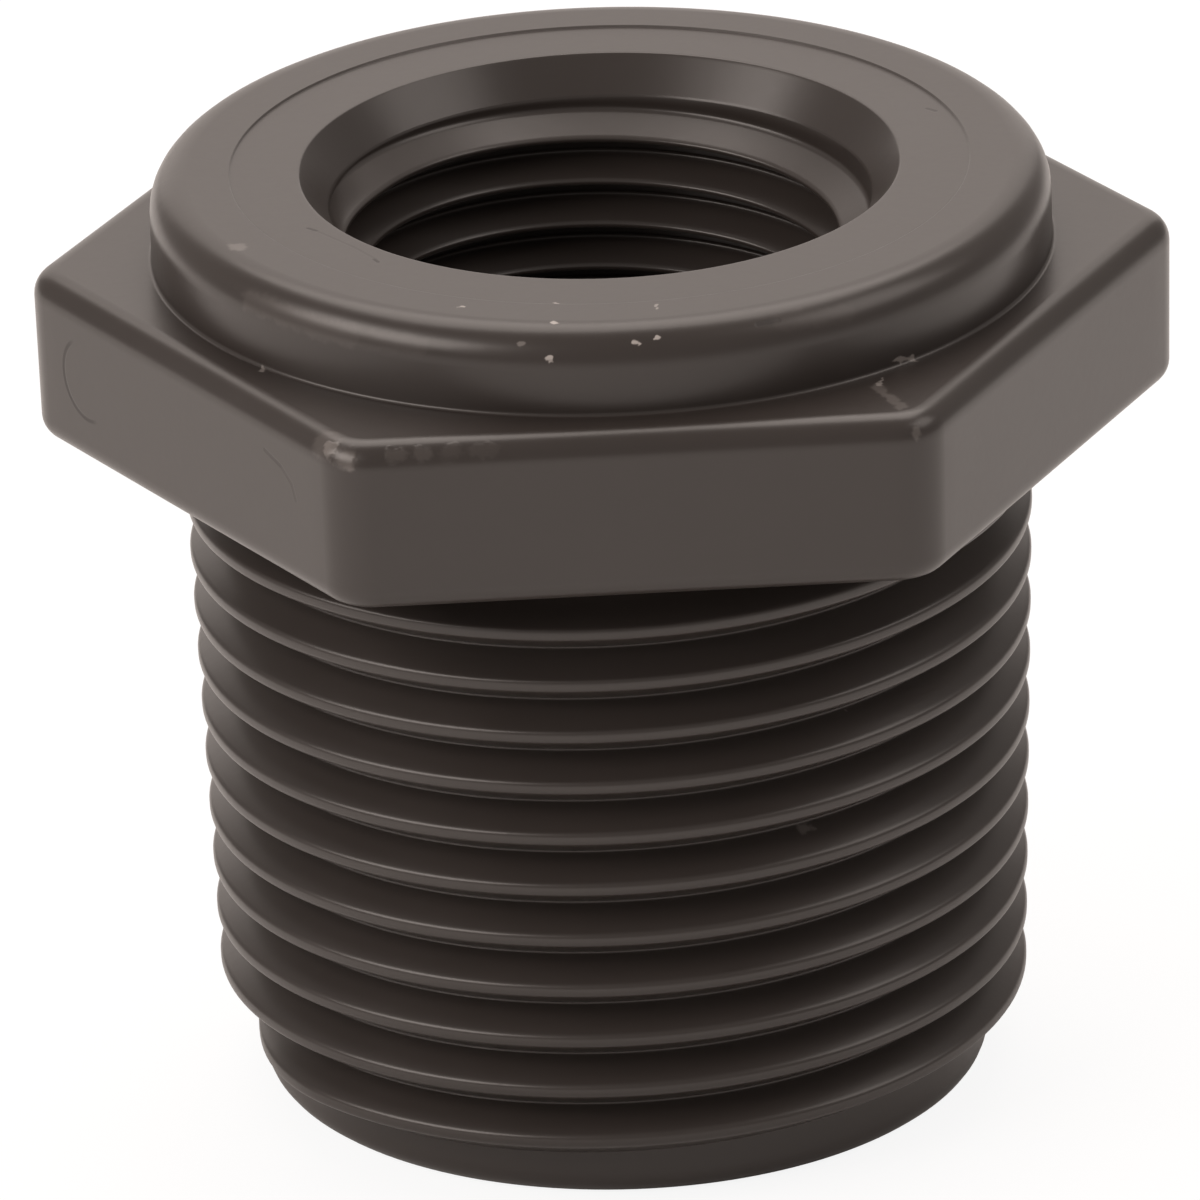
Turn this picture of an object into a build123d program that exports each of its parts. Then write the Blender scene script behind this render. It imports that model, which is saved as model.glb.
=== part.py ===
from build123d import *
from math import cos, radians, sin
import os

os.makedirs("parts", exist_ok=True)

# Moulded reducing bushing, standing on its male end.
# The axis is Z, the lower end face lies in Z = 0 and one hex flat faces -Y.

# Heights: the whole piece, the collar on top and the hexagon below it
total_h = 38.3
collar_h = 3.4
hex_h = 7.0

# Hexagon head: width across flats at its upper edge, slope of its sides, and the roundings of
# its corners and of its upper and lower edges
hex_af = 39.6
hex_draft_deg = 1.0
hex_corner_r = 2.3
hex_edge_r = 1.0
hex_low_edge_r = 0.9

# Round collar on top of the hexagon, set back from the rounding of the hexagon's edge
collar_edge_r = 1.3
collar_foot_r = 0.7
collar_gap = 0.3

# Both threads are tapered: full taper on diameter
taper = 1 / 16

# Male taper pipe thread, nominal size 1: crest radius as it would be in Z = 0, depth of the
# V, and the angle about Z at which the ridge begins
male_tpi = 11.5
male_crest_r = 16.06
male_depth = 1.57
male_start_deg = -187

# Plain pilot below the male thread and plain neck above it
pilot_h = 1.5
pilot_edge_r = 1.0
neck_h = 0.2

# Female taper pipe thread, nominal size 1/2: root radius at the floor of the mouth, depth of
# the V, length of the socket, plain lead-in above the thread, and the angle at which it ends
female_tpi = 14
female_root_r = 10.72
female_depth = 1.3
female_len = 13.4
lead_in_h = 0.15
female_end_deg = 146

# Wide bevel at the mouth of the socket: how far it opens and how deep it goes
mouth_bevel = 1.15
mouth_depth = 1.5

# Plain bore below the socket, with a small bevel at the lower end
bore_r = 8.75
bore_edge = 0.6

# Fineness: straight facets in the turned roundings, straight runs in one turn of each thread,
# and the runs over which a ridge swells or dies
edge_facets = 3
foot_facets = 2
male_runs = 40
female_runs = 32
fade_runs = 4

# Hidden joints: how far a thread's root stands off the wall behind it, the wall of a threaded
# sleeve, and how deep fused solids reach into each other
root_proud = 0.1
sleeve_wall = 0.6
joint_depth = 2.8

# How far the tool that cuts the passage stands out at both ends
overshoot = 1.0

# Sizes that follow from the ones above
slope = taper / 2
male_pitch = 25.4 / male_tpi
female_pitch = 25.4 / female_tpi
hex_top = total_h - collar_h
hex_bottom = hex_top - hex_h
collar_r = hex_af / 2 - hex_edge_r - collar_foot_r - collar_gap
mouth_floor = total_h - mouth_depth
mouth_r = female_root_r + mouth_bevel
socket_bottom = mouth_floor - female_len


def male_root(z):
    """Radius of the root of the male thread at height z."""
    return male_crest_r - male_depth + slope * z


def female_root(z):
    """Radius of the root of the female thread at height z."""
    return female_root_r - slope * (mouth_floor - z)


def turned(points):
    """Solid of revolution about Z from the (radius, height) points of a closed outline."""
    return revolve(make_face(Plane.XZ * Polyline(*points, close=True)), Axis.Z)


def rounding(cx, cz, r, from_deg, to_deg, facets):
    """Points of a rounding of radius r about (cx, cz), as a few straight facets."""
    turns = [radians(from_deg + (to_deg - from_deg) * k / facets) for k in range(facets + 1)]
    return [(cx + r * cos(t), cz + r * sin(t)) for t in turns]


def strip(low, high, k):
    """Ruled face between run k of one helix and run k of another."""
    low_run = Edge.make_line(low[k], low[k + 1])
    high_run = Edge.make_line(high[k], high[k + 1])
    return Face.make_surface_from_curves(low_run, high_run)


def threaded_sleeve(first_deg, z_first, count, runs, pitch, root_r, depth, wall):
    """Sleeve with a right-hand V thread, which rises one pitch in a turn of so many runs.

    The root is one long helix, shared by the turn above and the turn below, and the crest runs
    half a pitch above it. The ridge swells over its first runs and dies over its last ones.
    The sleeve's back and both its ends follow the same helix. A thread inside the sleeve has
    a negative depth and a negative wall.
    """

    def place(k, turns_up, stand_off):
        z = z_first + pitch * (k / runs + turns_up)
        angle = radians(first_deg + 360 * k / runs)
        r = root_r(z) + stand_off
        return Vector(r * cos(angle), r * sin(angle), z)

    def height(k):
        return depth * min(1, k / fade_runs, (count - k) / fade_runs)

    root = [place(k, 0, 0) for k in range(count + 1)]
    back = [place(k, 0, -wall) for k in range(count + 1)]
    crest = [place(k, 1 / 2, height(k)) for k in range(count + 1)]
    root_above = [place(k, 1, 0) for k in range(count + 1)]
    back_above = [place(k, 1, -wall) for k in range(count + 1)]

    faces = []
    for k in range(count):
        faces.append(strip(root, crest, k))
        faces.append(strip(crest, root_above, k))
        faces.append(strip(back, back_above, k))
    for k in range(runs):
        faces.append(strip(root, back, k))
        faces.append(strip(root_above, back_above, count - runs + k))
    for k in (0, count):
        around = [root[k], crest[k], root_above[k], back_above[k], back[k]]
        faces.append(Face(Wire.make_polygon(around, close=True)))
    return Solid(Shell(faces))


# Stem: plain pilot with a rounded lower edge, then the tapered core up into the head
pilot_r = male_root(pilot_h) - root_proud
stem_top = hex_bottom + joint_depth
stem = turned([
    (0, 0),
    *rounding(pilot_r - pilot_edge_r, pilot_edge_r, pilot_edge_r, -90, 0, edge_facets),
    (pilot_r, pilot_h),
    (male_root(stem_top) - root_proud, stem_top),
    (0, stem_top),
])

# Hexagon head: corners rounded, sides drafted inwards from the upper rim, both rims rounded
hexagon = RegularPolygon(hex_af / 2, 6, major_radius=False)
outline = Pos(0, 0, hex_top) * fillet(hexagon.vertices(), hex_corner_r)
head = extrude(outline, amount=-hex_h, taper=hex_draft_deg)
head = fillet(head.faces().sort_by(Axis.Z)[-1].edges(), hex_edge_r)
head = fillet(head.faces().sort_by(Axis.Z)[0].edges(), hex_low_edge_r)

# Collar: hollow foot rounding against the hexagon, upright wall, rounded outer edge
foot_r = collar_r + collar_foot_r
collar_bottom = hex_top - joint_depth
collar = turned([
    (0, collar_bottom),
    (foot_r, collar_bottom),
    *rounding(foot_r, hex_top + collar_foot_r, collar_foot_r, -90, -180, foot_facets),
    *rounding(collar_r - collar_edge_r, total_h - collar_edge_r, collar_edge_r, 0, 90, edge_facets),
    (0, total_h),
])

# Passage: bevelled lower end, plain bore, tapered wall behind the female thread, wide bevel
socket_low_r = female_root(socket_bottom) + root_proud
bore_top = socket_bottom - (socket_low_r - bore_r)
passage = turned([
    (0, -overshoot),
    (bore_r + bore_edge, -overshoot),
    (bore_r + bore_edge, 0),
    (bore_r, bore_edge),
    (bore_r, bore_top),
    (socket_low_r, socket_bottom),
    (female_root_r + root_proud, mouth_floor),
    (mouth_r, total_h),
    (mouth_r, total_h + overshoot),
    (0, total_h + overshoot),
])

# Male thread: from the pilot up to the neck under the hexagon
male_turns = (hex_bottom - neck_h - pilot_h) / male_pitch - 1
male_thread = threaded_sleeve(
    male_start_deg, pilot_h, int(male_runs * male_turns), male_runs,
    male_pitch, male_root, male_depth, sleeve_wall,
)

# Female thread: from the bottom of the socket up to the lead-in under the mouth
female_top = mouth_floor - lead_in_h
female_count = int(female_runs * ((female_top - socket_bottom) / female_pitch - 1))
female_turns = female_count / female_runs
female_thread = threaded_sleeve(
    female_end_deg - 360 * female_turns, female_top - female_pitch * (female_turns + 1),
    female_count, female_runs, female_pitch, female_root, -female_depth, -sleeve_wall,
)

bushing = stem + head + collar + male_thread - passage + female_thread
bushing = bushing.solids().sort_by(SortBy.VOLUME)[-1]
bushing.label = "hex_bushing"
export_step(bushing, "parts/hex_bushing.step")
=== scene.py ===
import bmesh
import bpy
import numpy as np
from mathutils import Matrix, Vector


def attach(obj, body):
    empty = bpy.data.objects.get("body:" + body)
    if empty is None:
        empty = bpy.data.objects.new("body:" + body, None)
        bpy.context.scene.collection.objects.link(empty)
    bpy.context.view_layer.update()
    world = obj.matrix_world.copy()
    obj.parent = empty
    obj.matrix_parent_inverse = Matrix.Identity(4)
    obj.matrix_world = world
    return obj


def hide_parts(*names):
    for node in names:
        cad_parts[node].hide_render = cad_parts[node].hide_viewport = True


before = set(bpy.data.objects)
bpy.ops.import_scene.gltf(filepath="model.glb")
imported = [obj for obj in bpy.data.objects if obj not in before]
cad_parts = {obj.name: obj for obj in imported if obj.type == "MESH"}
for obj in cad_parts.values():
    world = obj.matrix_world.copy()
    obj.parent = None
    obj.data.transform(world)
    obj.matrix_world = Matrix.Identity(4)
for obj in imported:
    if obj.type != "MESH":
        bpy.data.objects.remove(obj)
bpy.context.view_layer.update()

# Hex bushing: one injection moulding in black glass-filled polypropylene. Its skin is one
# closed grid of rings that run up the outside, over the collar and down the inside, each with
# the same columns around the axis. Lengths are in millimetres.
mm = 0.001
total_h = 38.3
collar_h = 3.4
hex_h = 7.0
hex_top = total_h - collar_h
hex_bottom = hex_top - hex_h
hex_apothem = 19.8
hex_corner_r = 2.35
corner_reach = (hex_apothem - hex_corner_r) / np.cos(np.radians(30))
seam_deg = -150
per_flat = 24
per_corner = 10


def column_angles():
    """Angles of the grid's columns, in degrees: one full turn from the seam, both ends included.

    Round a hexagon corner they are evenly spaced over its rounding, and between two corners
    evenly over the flat.
    """
    half_corner = np.degrees(np.arctan2(
        hex_corner_r * np.sin(np.radians(30)),
        corner_reach + hex_corner_r * np.cos(np.radians(30)),
    ))
    flat = np.linspace(-30, -half_corner, per_flat // 2, endpoint=False)
    corner = np.linspace(-half_corner, half_corner, per_corner, endpoint=False)
    other = np.linspace(half_corner, 30, per_flat // 2, endpoint=False)
    sextant = np.concatenate([flat, corner, other]) + 30
    turn = np.concatenate([seam_deg + 60 * k + sextant for k in range(6)])
    return np.append(turn, seam_deg + 360)


columns = column_angles()


def ring(r, z):
    """Round ring of radius r at height z, as its radius and height in every column."""
    return np.full(columns.shape, float(r)), np.full(columns.shape, float(z))


def profile_rings(points, steps, support=0.1):
    """Rings of a turned profile whose corners are rounded.

    Each point is (radius, height, rounding). A rounded corner becomes an arc tangent to both
    of its runs, and a ring a little beside each arc keeps the flats next to it flat.
    """
    rings = [ring(*points[0][:2])]
    for before, here, after in zip(points, points[1:], points[2:]):
        at = np.array(here[:2], float)
        back = np.array(before[:2], float) - at
        ahead = np.array(after[:2], float) - at
        back_len = np.linalg.norm(back)
        ahead_len = np.linalg.norm(ahead)
        back = back / back_len
        ahead = ahead / ahead_len
        half = np.arccos(back @ ahead) / 2
        cut = here[2] / np.tan(half)
        centre = at + (back + ahead) / np.linalg.norm(back + ahead) * here[2] / np.sin(half)
        start = at + back * cut - centre
        end = at + ahead * cut - centre
        spread = np.pi - 2 * half
        rings.append(ring(*(at + back * min(cut + support, 0.5 * (cut + back_len)))))
        for t in np.linspace(0, 1, steps + 1):
            mixed = (np.sin((1 - t) * spread) * start + np.sin(t * spread) * end) / np.sin(spread)
            rings.append(ring(*(centre + mixed)))
        rings.append(ring(*(at + ahead * min(cut + support, 0.5 * (cut + ahead_len)))))
    return rings + [ring(*points[-1][:2])]


# Male thread: nominal size 1, 11.5 threads per inch, taper 1 in 16 on diameter. The mould
# leaves a short plain pilot below it, and it dies into a plain neck under the hexagon. Its
# crest is a narrow flat with soft shoulders, and its root the bottom of a plain V.
taper_slope = 1 / 32
male_pitch = 25.4 / 11.5
male_crest_r = 16.06
male_depth = 1.57
male_flat = 0.46
male_soft = 0.18
pilot_top = 1.5
male_start_deg = -187
male_start_z = pilot_top + male_pitch / 2
neck_top = hex_bottom - 0.25
male_turns = (neck_top - male_pitch / 2 - male_start_z) / male_pitch
male_end_deg = male_start_deg + 360 * male_turns


def male_root(z):
    """Radius of the root of the male thread, which grows by 1/32 of the height."""
    return male_crest_r - male_depth + taper_slope * z


def soft_clip(x, low, high, soft):
    """x held between low and high, with both corners rounded over a length of about soft."""
    x = 0.5 * (x + high - np.sqrt((x - high) ** 2 + soft * soft))
    return 0.5 * (x + low + np.sqrt((x - low) ** 2 + soft * soft))


def thread_rings(side, root_r, pitch, crest, span, turns, depth, flat, soft, room, beside):
    """Rings that follow a right-hand taper thread, so that one turn on they meet the next.

    crest is (angle, height) of a point of the crest helix. span holds the angles at which the
    ridge starts and ends and the lengths over which it swells and dies, and room the lowest
    and highest height. beside holds the offsets of the rings from the crest, on either side.
    A ring has the root's radius plus the height of the ridge there: a V with flanks of 30
    degrees, its crest and its foot rounded. side is 1 for a ridge outside, -1 for one inside.
    """
    offsets = [-offset for offset in reversed(beside)] + beside + [pitch / 2]
    rings = []
    for turn in turns:
        angle = columns + 360 * turn
        middle = crest[1] + pitch * (angle - crest[0]) / 360
        share = np.minimum((angle - span[0]) / span[2], (span[1] - angle) / span[3])
        share = np.clip(share, 0, 1)
        share = share * share * (3 - 2 * share)
        for offset in offsets[::side]:
            z = np.clip(middle + offset, *room)
            flank = depth * share - (np.abs(z - middle) - flat / 2) * np.tan(np.radians(60))
            ridge = soft_clip(flank, 0, depth * share, soft * share)
            rings.append((root_r(z) + side * np.where(share > 0, ridge, 0), z))
    return rings


male_swell_deg = 45
male_die_deg = 60
beside_male_crest = [0.1, 0.18, 0.23, 0.26, 0.29, 0.34, 0.6, 0.9, 1.04]
male_rings = thread_rings(
    1, male_root, male_pitch, (male_start_deg, male_start_z),
    (male_start_deg, male_end_deg, male_swell_deg, male_die_deg), range(-1, 12),
    male_depth, male_flat, male_soft, (pilot_top, neck_top), beside_male_crest,
)

# Lower end: flat end face with a small bevel into the bore and a rounded outer edge
bore_r = 8.75
bore_edge = 0.6
bore_middle_z = 6.0
pilot_edge_r = 1.0
pilot_r = male_root(pilot_top)
lower_rings = profile_rings([
    (bore_r, bore_middle_z),
    (bore_r, bore_edge, 0.1),
    (bore_r + bore_edge, 0, 0.1),
    (pilot_r, 0, pilot_edge_r),
    (pilot_r, pilot_top),
], steps=6)

# Hexagon head: flats with 1 degree of draft, rounded corners and rounded upper and lower rims
hex_draft = np.radians(1)
hex_edge_r = 1.0
hex_low_edge_r = 0.9


def hex_ring(inset, z):
    """Ring on the hexagon: its outline drawn in by inset all round, at height z.

    On a flat the radius is the apothem over the cosine of the angle from the flat's middle.
    Round a corner it is the far crossing of the ray with a circle about the corner's centre.
    """
    turn = np.radians(np.abs((columns + 30) % 60 - 30))
    flat = (hex_apothem - inset) / np.cos(np.radians(30) - turn)
    r = hex_corner_r - inset
    side = corner_reach * np.sin(turn)
    round_corner = corner_reach * np.cos(turn) + np.sqrt(np.maximum(r * r - side * side, 0))
    edge = np.arctan2(r * np.sin(np.radians(30)), corner_reach + r * np.cos(np.radians(30)))
    return np.where(turn < edge, round_corner, flat), np.full(columns.shape, float(z))


neck_r = male_root(neck_top)
neck_fillet = 0.22
underside_r = 17.6
head_rings = profile_rings([
    (neck_r, neck_top),
    (neck_r + 0.01, hex_bottom, neck_fillet),
    (underside_r, hex_bottom),
], steps=4)[1:]
draft_sin = np.sin(hex_draft)
low_inset = (hex_low_edge_r + draft_sin * (hex_h - hex_low_edge_r)) / np.cos(hex_draft)
high_inset = hex_edge_r * (1 + draft_sin) / np.cos(hex_draft)
low_z = hex_bottom + hex_low_edge_r
high_z = hex_top - hex_edge_r
head_rings.append(hex_ring(low_inset + 0.08, hex_bottom))
for turn in np.linspace(-np.pi / 2, -hex_draft, 9):
    inset = low_inset - hex_low_edge_r * np.cos(turn)
    head_rings.append(hex_ring(inset, low_z + hex_low_edge_r * np.sin(turn)))
side_low = low_z - hex_low_edge_r * draft_sin
side_high = high_z - hex_edge_r * draft_sin
for share in (0.02, 0.35, 0.65, 0.98):
    z = side_low + share * (side_high - side_low)
    head_rings.append(hex_ring((hex_top - z) * np.tan(hex_draft), z))
for turn in np.linspace(-hex_draft, np.pi / 2, 10):
    inset = high_inset - hex_edge_r * np.cos(turn)
    head_rings.append(hex_ring(inset, high_z + hex_edge_r * np.sin(turn)))
head_rings.append(hex_ring(high_inset + 0.04, hex_top))

# Round collar: hollow foot rounding on the hexagon, upright wall and rounded outer edge. Its
# flat top has a fine step down, where the sleeve of the mould met its core.
collar_r = 17.8
collar_edge_r = 1.45
collar_foot_r = 0.15
step_r = 14.6
step_h = 0.08
step_z = total_h - step_h
collar_rings = profile_rings([
    (collar_r + collar_foot_r + 0.04, hex_top),
    (collar_r, hex_top, collar_foot_r),
    (collar_r, total_h, collar_edge_r),
    (step_r + 0.3, total_h),
], steps=8)
for offset, sunk in ((0.06, 0), (0.03, 0), (0, 1), (-0.03, 1)):
    collar_rings.append(ring(step_r + offset, total_h - step_h * sunk))

# Socket: wide bevel, then the female thread, nominal size 1/2 with 14 threads per inch, then a
# plain bore. The core that formed it was unscrewed, so the thread runs out under the bevel.
mouth_r = 11.87
mouth_edge_r = 0.12
mouth_foot_r = 0.1
mouth_floor = total_h - 1.5
socket_bottom = mouth_floor - 13.4
female_root_r = 10.72
female_pitch = 25.4 / 14
female_depth = 1.3
female_flat = 0.16
female_soft = 0.06
female_top_deg = 212
female_top_z = mouth_floor - 0.4 * female_pitch
female_turns = (female_top_z - socket_bottom) / female_pitch - 0.5
female_low_deg = female_top_deg - 360 * female_turns
female_foot = female_flat / 2 + female_depth * np.tan(np.radians(30))
lead_z = mouth_floor - 0.05


def female_root(z):
    """Radius of the root of the female thread, which shrinks by 1/32 of the depth."""
    return female_root_r - taper_slope * (mouth_floor - z)


mouth_rings = profile_rings([
    (step_r - 0.3, step_z),
    (mouth_r, step_z, mouth_edge_r),
    (female_root_r + 0.05, mouth_floor + 0.05, mouth_foot_r),
    (female_root(lead_z), lead_z),
], steps=4)
female_swell_deg = 50
female_die_deg = 64
beside_female_crest = [0.05, 0.1, 0.18, female_foot - 0.1, female_foot]
female_rings = thread_rings(
    -1, female_root, female_pitch, (female_top_deg, female_top_z),
    (female_low_deg, female_top_deg, female_swell_deg, female_die_deg), range(1, -8, -1),
    female_depth, female_flat, female_soft, (socket_bottom, lead_z), beside_female_crest,
)
bore_rings = profile_rings([
    (female_root(socket_bottom), socket_bottom),
    (bore_r, socket_bottom - 1.0, 0.2),
    (bore_r, bore_middle_z + 0.1),
], steps=3)


def closed_skin(name, rings):
    """Object with the mesh of the grid of rings and columns, in metres.

    Each ring joins the next, the last ring joins the first, and the two end columns are
    merged by place, because in the threads a ring meets there the ring of the next turn.
    """
    radius = np.array([r for r, z in rings])
    height = np.array([z for r, z in rings])
    across = np.radians(columns)
    places = np.stack([radius * np.cos(across), radius * np.sin(across), height], axis=-1) * mm
    grid = np.arange(radius.size).reshape(radius.shape)
    above = np.roll(grid, -1, axis=0)
    quads = np.stack([grid[:, :-1], grid[:, 1:], above[:, 1:], above[:, :-1]], axis=-1)
    mesh = bpy.data.meshes.new(name)
    mesh.from_pydata(places.reshape(-1, 3).tolist(), [], quads.reshape(-1, 4).tolist())
    shape = bmesh.new()
    shape.from_mesh(mesh)
    bmesh.ops.remove_doubles(shape, verts=shape.verts, dist=0.002 * mm)
    bmesh.ops.dissolve_degenerate(shape, edges=shape.edges, dist=0.001 * mm)
    shape.to_mesh(mesh)
    shape.free()
    mesh.shade_smooth()
    piece = bpy.data.objects.new(name, mesh)
    bpy.context.scene.collection.objects.link(piece)
    return piece


bushing = closed_skin(
    "moulded_bushing",
    lower_rings + male_rings + head_rings + collar_rings + mouth_rings + female_rings + bore_rings,
)


class Socket:
    """An output socket of a node tree. A sum, difference or product with it adds a Math node."""

    def __init__(self, tree, plug=None):
        self.tree = tree
        self.plug = plug

    def node(self, kind, inputs, out=0, **settings):
        """Output of any other node: its settings come first, then its values and links."""
        made = self.tree.nodes.new(kind)
        for name, value in settings.items():
            setattr(made, name, value)
        for key, value in inputs.items():
            if isinstance(value, Socket):
                self.tree.links.new(value.plug, made.inputs[key])
            else:
                made.inputs[key].default_value = value
        return Socket(self.tree, made.outputs[out] if made.outputs else None)

    def math(self, operation, *values):
        return self.node("ShaderNodeMath", dict(enumerate(values)), operation=operation)

    def __add__(self, other):
        return self.math("ADD", self, other)

    def __sub__(self, other):
        return self.math("SUBTRACT", self, other)

    def __mul__(self, other):
        return self.math("MULTIPLY", self, other)

    __radd__ = __add__
    __rmul__ = __mul__


def blank_tree(owner):
    """Start of an empty node tree on a material or the world."""
    owner.use_nodes = True
    owner.node_tree.nodes.clear()
    return Socket(owner.node_tree)


def noise(place, scale, detail):
    """Noise of so many waves a metre, about 0.5 all over."""
    inputs = {"Vector": place, "Scale": scale, "Detail": detail, "Roughness": 0.6}
    return place.node("ShaderNodeTexNoise", inputs, out="Fac")


def near(away, full, none):
    """1 where the distance is under full, 0 where it is over none, smooth between."""
    inputs = {"Value": away, "From Min": full, "From Max": none, "To Min": 1.0, "To Max": 0.0}
    return away.node("ShaderNodeMapRange", inputs, out="Result", interpolation_type="SMOOTHSTEP")


def distance(place, point):
    """Distance of the surface from a point."""
    return place.node("ShaderNodeVectorMath", {0: place, 1: point}, out="Value", operation="DISTANCE")


def speck(place, point, r):
    """1 on a small round speck, 0 off it."""
    return near(distance(place, Vector(point) * mm), 0.5 * r * mm, r * mm)


def stroke(place, start, end, half_width):
    """1 along a straight stroke on the surface, 0 off it.

    The nearest point of the stroke is start plus a share of the way to end, held between
    0 and 1.
    """
    start = Vector(start) * mm
    way = Vector(end) * mm - start
    along = way / way.length_squared
    share = place.node(
        "ShaderNodeVectorMath", {0: place, 1: along}, out="Value", operation="DOT_PRODUCT",
    )
    share = share.node(
        "ShaderNodeMath", {0: share, 1: start.dot(along)}, operation="SUBTRACT", use_clamp=True,
    )
    nearest = share.node("ShaderNodeVectorMath", {0: share, 1: way, 2: start}, operation="MULTIPLY_ADD")
    return near(distance(place, nearest), 0.4 * half_width * mm, half_width * mm)


def any_of(masks):
    """The strongest of several masks."""
    joined = masks[0]
    for mask in masks[1:]:
        joined = joined.math("MAXIMUM", joined, mask)
    return joined


def trail(place, points, half_width):
    """1 along a chain of strokes, 0 off it."""
    return any_of([stroke(place, a, b, half_width) for a, b in zip(points, points[1:])])


# Moulded plastic: near black and warm, with the fine orange peel of the mould and short glass
# fibres just under the skin. Handling left nicks and pale specks, and paler colour is painted along the
# collar's rounding as a highlight.
plastic = bpy.data.materials.new("black_moulded_plastic")
begin = blank_tree(plastic)
place = begin.node("ShaderNodeTexCoord", {}, out="Object")
cloud = noise(place, 160.0, 3.0)
peel = noise(place, 700.0, 2.0)
grain = noise(place, 2600.0, 4.0)

# All marks but the dark ones are placed by a point that wanders a little, which makes their
# edges ragged
wander = place.node("ShaderNodeTexNoise", {"Vector": place, "Scale": 2400.0, "Detail": 2.0}, out="Color")
wander = wander.node("ShaderNodeVectorMath", {0: wander, 1: (0.5, 0.5, 0.5)}, operation="SUBTRACT")
stray = 0.6 * mm
ragged = wander.node(
    "ShaderNodeVectorMath", {0: wander, 1: (stray, stray, stray), 2: place}, operation="MULTIPLY_ADD",
)

# Gate mark: part of a circle pressed into the left flat of the hexagon
gate_centre = Vector((-20.65, -3.72, 31.6)) * mm
gate_r = 1.65 * mm
gate_way = (-0.45, 0.78, -0.43)
off_rim = place.math("ABSOLUTE", distance(place, gate_centre) - gate_r)
gate_rim = near(off_rim, 0.03 * mm, 0.13 * mm)
along_way = place.node(
    "ShaderNodeVectorMath", {0: place, 1: gate_way}, out="Value", operation="DOT_PRODUCT",
)
behind = place.math("SUBTRACT", gate_centre.dot(gate_way), along_way)
gate_side = near(behind, -0.5 * mm, 0.1 * mm)

# Dark nicks and hair lines: on the left flat, along the ring on the top face and on its edge
dark = any_of([
    0.8 * gate_rim * gate_side,
    0.5 * trail(place, [(-14.08, -15.16, 33.12), (-13.51, -16.13, 32.82)], 0.12),
    0.3 * trail(place, [(-13.51, -16.13, 32.82), (-13.12, -16.75, 32.3), (-13.01, -16.96, 31.71)], 0.12),
    trail(place, [(-11.75, -5.2, step_z), (-11.45, -5.5, step_z)], 0.11),
    0.3 * trail(place, [(-11.45, -5.5, step_z), (-10.02, -7.46, step_z), (-9.3, -8.7, step_z)], 0.09),
    trail(place, [(-9.33, -8.75, step_z), (-9.2, -9.05, step_z)], 0.1),
    0.7 * trail(place, [(13.6, 3.75, step_z), (13.3, 4.05, step_z)], 0.13),
    0.8 * trail(place, [(5.1, -16.6, 37.95), (5.9, -16.3, 37.95)], 0.16),
])

# Pale scratch at the right of the collar, and pale specks on its top, its edge and the thread
pale = any_of([
    0.5 * trail(ragged, [(11.2, -13.84, 35.07), (10.72, -14.21, 35.18), (9.63, -16.13, 34.9)], 0.14),
    0.14 * trail(ragged, [(9.63, -16.13, 34.9), (10.4, -18.15, 34.9), (10.94, -19.54, 34.28)], 0.3),
    0.5 * speck(ragged, (11.2, -13.84, 35.07), 0.25),
    0.4 * trail(ragged, [(-14.0, -11.5, 34.9), (-13.87, -11.09, 34.94)], 0.16),
    0.2 * speck(ragged, (-14.61, -6.95, total_h), 0.5),
    0.9 * trail(ragged, [(-6.35, -14.2, step_z), (-6.15, -14.26, step_z)], 0.14),
    0.7 * speck(ragged, (-2.56, -14.11, step_z), 0.16),
    speck(ragged, (-2.76, -16.22, total_h), 0.2),
    0.6 * trail(ragged, [(1.29, -15.4, total_h), (1.29, -15.0, total_h)], 0.11),
    speck(ragged, (1.14, -17.29, 37.94), 0.19),
    speck(ragged, (0.31, -17.46, 37.81), 0.18),
    speck(ragged, (-3.07, -17.48, 37.21), 0.2),
    0.3 * speck(ragged, (-4.14, -17.0, 37.78), 0.2),
    0.35 * speck(ragged, (8.31, -12.9, 19.77), 0.2),
    0.2 * speck(ragged, (6.55, -13.85, 15.22), 0.4),
])

# The left front corner of the hexagon is chipped, with a painted highlight on the facets of the chip,
# and its front rim has a row of small dents
chip_and_glint = any_of([
    speck(ragged, (-11.6, -18.75, 34.55), 0.5),
    0.7 * speck(ragged, (-11.1, -19.35, 34.3), 0.6),
    0.3 * speck(ragged, (-11.8, -18.4, 34.7), 0.9),
])
dents = any_of([
    trail(ragged, [(-9.3, -19.6, 34.5), (-9.0, -19.6, 34.5)], 0.4),
    trail(ragged, [(-8.25, -19.6, 34.5), (-7.95, -19.6, 34.5)], 0.4),
    0.6 * trail(ragged, [(-7.2, -19.6, 34.5), (-6.9, -19.6, 34.5)], 0.4),
    0.5 * trail(ragged, [(-6.2, -19.6, 34.5), (-5.4, -19.6, 34.5)], 0.35),
])

# Painted highlight: paler colour along the rounding of the collar, where the left and right soft boxes
# shine in it
painted_highlight = any_of([
    trail(ragged, [(-14.28, -10.37, 37.45), (-12.45, -12.63, 37.35), (-10.59, -14.24, 37.3)], 0.6),
    0.6 * trail(ragged, [(-10.59, -14.24, 37.3), (-7.95, -15.79, 37.45)], 0.5),
    0.5 * trail(ragged, [(5.97, -16.22, 37.8), (8.75, -15.25, 37.69)], 0.5),
])
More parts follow.
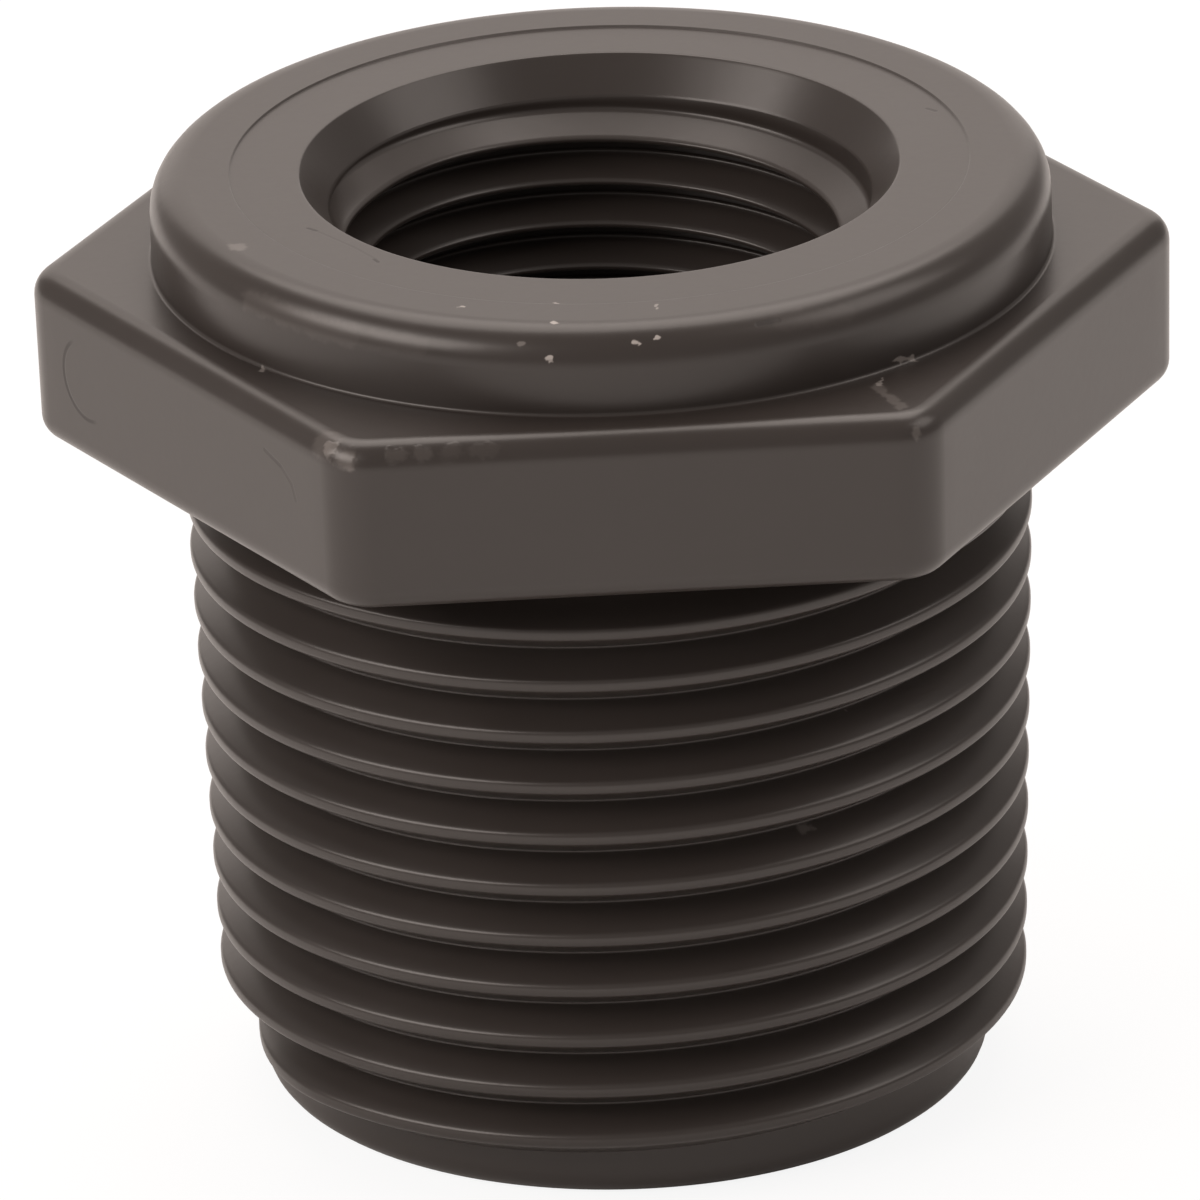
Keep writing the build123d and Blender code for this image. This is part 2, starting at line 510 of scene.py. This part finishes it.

# Colour: two near blacks in soft clouds, darker in the nicks, pale where the skin is broken, and paler
# where highlights are painted on the collar and the chip
deep_black = (0.030, 0.0245, 0.022, 1)
soft_black = (0.038, 0.0315, 0.0285, 1)
nick_black = (0.012, 0.009, 0.008, 1)
scraped_and_highlight_grey = (0.38, 0.35, 0.33, 1)
# The pale grey also paints the highlights on the collar's rounding and on the chip's facets
scraped_and_highlight = any_of([pale, chip_and_glint * peel * 0.6, dents * 0.06, painted_highlight * 0.06])
colour = begin.node(
    "ShaderNodeMix", {0: cloud, 6: deep_black, 7: soft_black}, out=2, data_type="RGBA",
)
colour = begin.node(
    "ShaderNodeMix", {0: dark * 0.7, 6: colour, 7: nick_black}, out=2, data_type="RGBA",
)
colour = begin.node(
    "ShaderNodeMix", {0: scraped_and_highlight, 6: colour, 7: scraped_and_highlight_grey}, out=2, data_type="RGBA",
)
roughness = 0.24 + 0.08 * cloud + 0.05 * grain + 0.2 * dark
relief = 0.5 * peel + 0.25 * grain - 1.5 * dark + (6.0 * chip_and_glint + 5.0 * dents) * peel
bumped = begin.node(
    "ShaderNodeBump", {"Strength": 0.25, "Distance": 0.03 * mm, "Height": relief}, out="Normal",
)
surface = begin.node("ShaderNodeBsdfPrincipled", {
    "Base Color": colour, "Roughness": roughness, "Normal": bumped, "IOR": 1.53,
})
begin.node("ShaderNodeOutputMaterial", {"Surface": surface})
bushing.data.materials.append(plastic)
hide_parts("hex_bushing")
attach(bushing, "root")

# Floor: a wide pale sheet of card that the bushing stands on. It shows white to the camera
# and keeps a light shadow.
reach = 3.0
corners = [(-reach, -reach, 0), (reach, -reach, 0), (reach, reach, 0), (-reach, reach, 0)]
floor_mesh = bpy.data.meshes.new("floor")
floor_mesh.from_pydata(corners, [], [(0, 1, 2, 3)])
floor = bpy.data.objects.new("floor", floor_mesh)
bpy.context.scene.collection.objects.link(floor)
shown_white = 0.85
card = bpy.data.materials.new("white_card")
begin = blank_tree(card)
to_camera = begin.node("ShaderNodeLightPath", {}, out="Is Camera Ray")
matte = begin.node("ShaderNodeBsdfDiffuse", {"Color": (0.95, 0.95, 0.95, 1)})
glow = begin.node("ShaderNodeEmission", {"Color": (1, 1, 1, 1), "Strength": 1.04})
mixed = begin.node("ShaderNodeMixShader", {0: to_camera * shown_white, 1: matte, 2: glow})
begin.node("ShaderNodeOutputMaterial", {"Surface": mixed})
floor_mesh.materials.append(card)

# Studio: a dim warm room with four soft boxes. The strongest stands high at the left, and the
# others stand high at the right, behind and overhead. The room is plain white to the camera.
warm = (1.0, 0.9, 0.84)
room_level = 0.37
world = bpy.data.worlds.new("studio")
bpy.context.scene.world = world
begin = blank_tree(world)
to_camera = begin.node("ShaderNodeLightPath", {}, out="Is Camera Ray")
tone = begin.node(
    "ShaderNodeMix", {0: to_camera, 6: (*warm, 1), 7: (1, 1, 1, 1)}, out=2, data_type="RGBA",
)
level = room_level + (1 - room_level) * to_camera
room = begin.node("ShaderNodeBackground", {"Color": tone, "Strength": level})
begin.node("ShaderNodeOutputWorld", {"Surface": room})


def soft_box(name, place, size, level):
    """Lamp of this width and height in metres, as bright as its level, aimed at the bushing."""
    lamp = bpy.data.lights.new(name, "AREA")
    lamp.shape = "RECTANGLE"
    lamp.size, lamp.size_y = size
    lamp.energy = level * np.pi * lamp.size * lamp.size_y
    lamp.color = warm
    holder = bpy.data.objects.new(name, lamp)
    holder.location = place
    aim = Vector((0, 0, 0.02)) - Vector(place)
    holder.rotation_euler = aim.to_track_quat("-Z", "Y").to_euler()
    bpy.context.scene.collection.objects.link(holder)


soft_box("left_box", (-0.443, -0.197, 0.353), (0.48, 0.27), 4.8)
soft_box("right_box", (0.413, -0.058, 0.432), (0.34, 0.28), 2.0)
soft_box("back_box", (0.0, 0.65, 0.30), (0.75, 0.6), 0.8)
soft_box("top_box", (0.0, 0.28, 0.575), (0.54, 0.42), 2.9)

# Camera: a long lens a little to the left of the front and 23 degrees above the floor, held
# slightly crooked, so that the right side of the bushing stands higher in the picture.
elevation = np.radians(23.394)
roll = np.radians(-1.827)
camera_distance = 0.7181
turned = Matrix.Rotation(np.radians(-2.845), 3, "Z")
aim = turned @ Vector((-0.5231, 0, 19.4872)) * mm
ahead = turned @ Vector((0, np.cos(elevation), -np.sin(elevation)))
right = turned @ Vector((1, 0, 0))
up = right.cross(ahead)
across_frame = right * np.cos(roll) + up * np.sin(roll)
up_frame = up * np.cos(roll) - right * np.sin(roll)
lens = bpy.data.cameras.new("camera")
lens.lens = 540.75
lens.sensor_width = 36
lens.clip_start = 0.01
camera = bpy.data.objects.new("camera", lens)
pose = Matrix((across_frame, up_frame, -ahead)).transposed().to_4x4()
pose.translation = aim - ahead * camera_distance
camera.matrix_world = pose
bpy.context.scene.collection.objects.link(camera)
bpy.context.scene.camera = camera

bpy.context.scene.view_settings.view_transform = "Standard"
